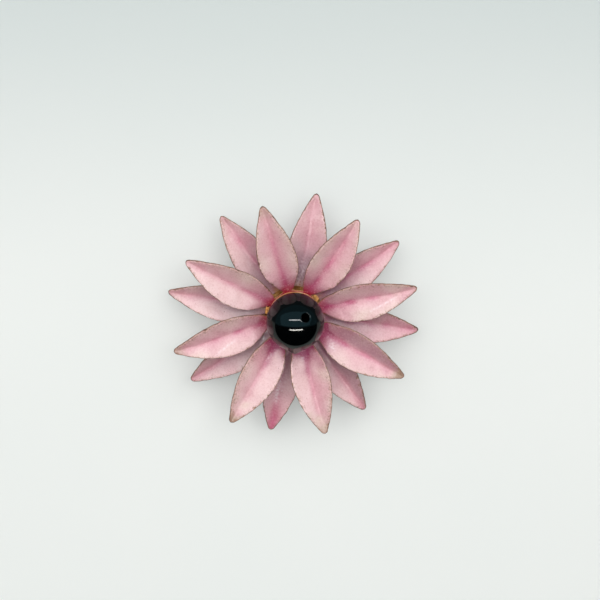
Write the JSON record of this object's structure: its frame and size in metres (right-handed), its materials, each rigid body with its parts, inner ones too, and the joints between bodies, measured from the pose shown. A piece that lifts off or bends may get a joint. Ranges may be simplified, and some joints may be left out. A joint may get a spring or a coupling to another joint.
{
  "type": "flower pin",
  "caption": "Enamelled metal flower pin: two layers of folded petals round a glass bead, with a hinged pin stem and a turning safety catch behind.",
  "frame": {"origin": "on the flower's axis, level with the lowest point of the catch behind the flower", "axes": "+Z out of the flower's face along its axis; +X along the pin bar from the catch towards the hinge; +Y towards the side of the flower on which the pin bar sits"},
  "size_m": [0.0599, 0.0597, 0.0198],
  "materials": {
    "glass_bead": "polished black-green glass",
    "cement": "set cement",
    "brass_cup": "worn orange brass",
    "rivet_brass": "aged brass",
    "copper": "aged copper with fire scale",
    "pink_enamel": "glossy mottled pink vitreous enamel",
    "back_enamel": "speckled grey-pink vitreous enamel",
    "gilt_plate": "satin gilt",
    "gilt_catch": "polished gilt",
    "solder": "dull solder",
    "stem_steel": "drawn steel wire"
  },
  "bodies": {
    "flower": {"centre_bead": "glass_bead", "bead_cement": "cement", "bead_cup": "brass_cup", "centre_rivet": "rivet_brass", "rivet_washer": "rivet_brass", "layer_washer": "rivet_brass", "upper_sheet": "copper", "lower_sheet": "copper", "upper_enamel": "pink_enamel", "lower_enamel": "pink_enamel", "upper_back_enamel": "back_enamel", "lower_back_enamel": "back_enamel", "back_plate": "gilt_plate", "pin_bar": "gilt_plate", "hinge_bracket": "gilt_plate", "catch_body": "gilt_plate", "hinge_rivet": "gilt_catch", "plate_solder": "solder"},
    "stem": {"pin_stem": "stem_steel"},
    "sleeve": {"catch_sleeve": "gilt_catch"}
  },
  "joints": [
    {"name": "stem_hinge", "type": "hinge", "parent": "flower", "child": "stem", "pos_m": [0.013, 0.0055, 0.0017], "axis": [0, -1, 0], "range_deg": [0, 100]},
    {"name": "sleeve_turn", "type": "hinge", "parent": "flower", "child": "sleeve", "pos_m": [-0.0133, 0.0055, 0.0017], "axis": [-1, 0, 0], "range_deg": [0, 150]}
  ]
}
